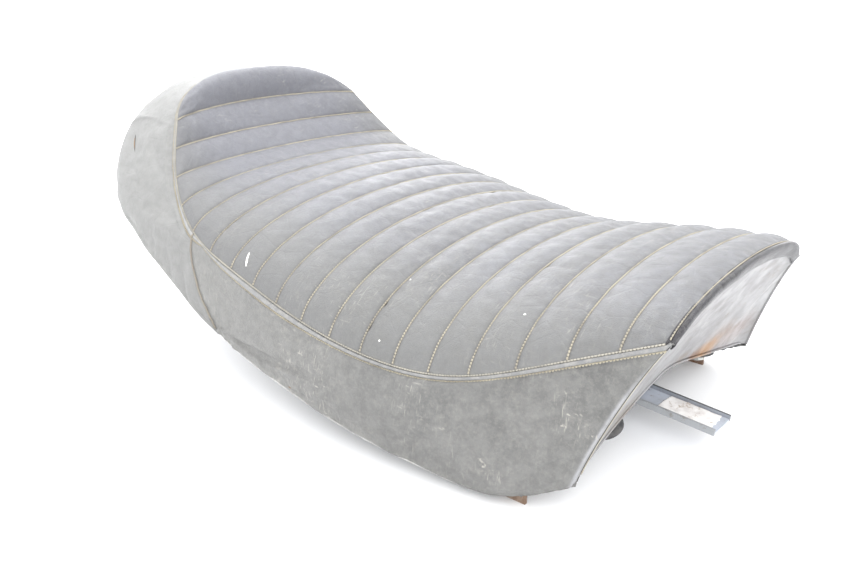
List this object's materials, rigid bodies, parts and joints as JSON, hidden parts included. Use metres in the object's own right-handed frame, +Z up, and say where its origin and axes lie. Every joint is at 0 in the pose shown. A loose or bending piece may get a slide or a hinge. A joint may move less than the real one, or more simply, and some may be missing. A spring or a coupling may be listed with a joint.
{
  "type": "motorcycle seat",
  "caption": "Single motorcycle seat with a cross-ribbed black vinyl saddle, smooth rear hump, off-white steel pan, front U-channel tongue and rubber buffers.",
  "frame": {"origin": "middle of the seat's length and width, at the height of its lowest steel (the side tabs' tips and the rear stay's foot)", "axes": "+X to the front of the motorcycle, along the seat's longest side; +Y to the rider's left; +Z up"},
  "size_m": [0.6032, 0.3624, 0.2403],
  "materials": {
    "vinyl_ribbed": "black grained vinyl, worn satin",
    "vinyl_side": "black grained vinyl, scuffed satin",
    "vinyl_tail": "black grained vinyl, faded satin",
    "vinyl_trim": "black vinyl band, matt",
    "foam": "open-cell foam, yellowed",
    "pan_paint": "off-white paint, rust-stained",
    "channel_steel": "dark grey, worn",
    "bracket_steel": "dark satin",
    "rusty_steel": "rusted",
    "zinc": "dull zinc",
    "rubber": "matt",
    "label_paper": "worn, blank"
  },
  "bodies": {
    "root": {"blank_label": "label_paper", "buffer_front_left": "rubber", "buffer_front_right": "rubber", "buffer_middle_left": "rubber", "buffer_middle_right": "rubber", "buffer_rear_left": "rubber", "buffer_rear_right": "rubber", "buffer_screw_front_left": "zinc", "buffer_screw_front_right": "zinc", "buffer_screw_middle_left": "zinc", "buffer_screw_middle_right": "zinc", "buffer_screw_rear_left": "zinc", "buffer_screw_rear_right": "zinc", "clamp_rivet_left_1": "zinc", "clamp_rivet_left_2": "zinc", "clamp_rivet_left_3": "zinc", "clamp_rivet_left_4": "zinc", "clamp_rivet_left_5": "zinc", "clamp_rivet_right_1": "zinc", "clamp_rivet_right_2": "zinc", "clamp_rivet_right_3": "zinc", "clamp_rivet_right_4": "zinc", "clamp_rivet_right_5": "zinc", "clamp_strip_left": "zinc", "clamp_strip_right": "zinc", "clamp_strip_tail": "zinc", "cover_side_left": "vinyl_side", "cover_side_right": "vinyl_side", "cover_tail_panel": "vinyl_tail", "cover_top_panel": "vinyl_ribbed", "foam_hump": "foam", "foam_saddle": "foam", "front_trim": "vinyl_trim", "lip_rubber_left": "rubber", "lip_rubber_right": "rubber", "rear_stay": "bracket_steel", "rear_stay_nut_1": "zinc", "rear_stay_nut_2": "zinc", "rear_stay_stud_1": "zinc", "rear_stay_stud_2": "zinc", "seat_pan": "pan_paint", "side_tab_left": "rusty_steel", "side_tab_right": "rusty_steel", "tab_rivet_left_1": "zinc", "tab_rivet_left_2": "zinc", "tab_rivet_right_1": "zinc", "tab_rivet_right_2": "zinc", "tongue_channel": "channel_steel", "tongue_nut_1": "zinc", "tongue_nut_2": "zinc", "tongue_nut_3": "zinc", "tongue_nut_4": "zinc", "tongue_riser": "bracket_steel", "tongue_stud_1": "zinc", "tongue_stud_2": "zinc", "tongue_stud_3": "zinc", "tongue_stud_4": "zinc"}
  },
  "joints": []
}
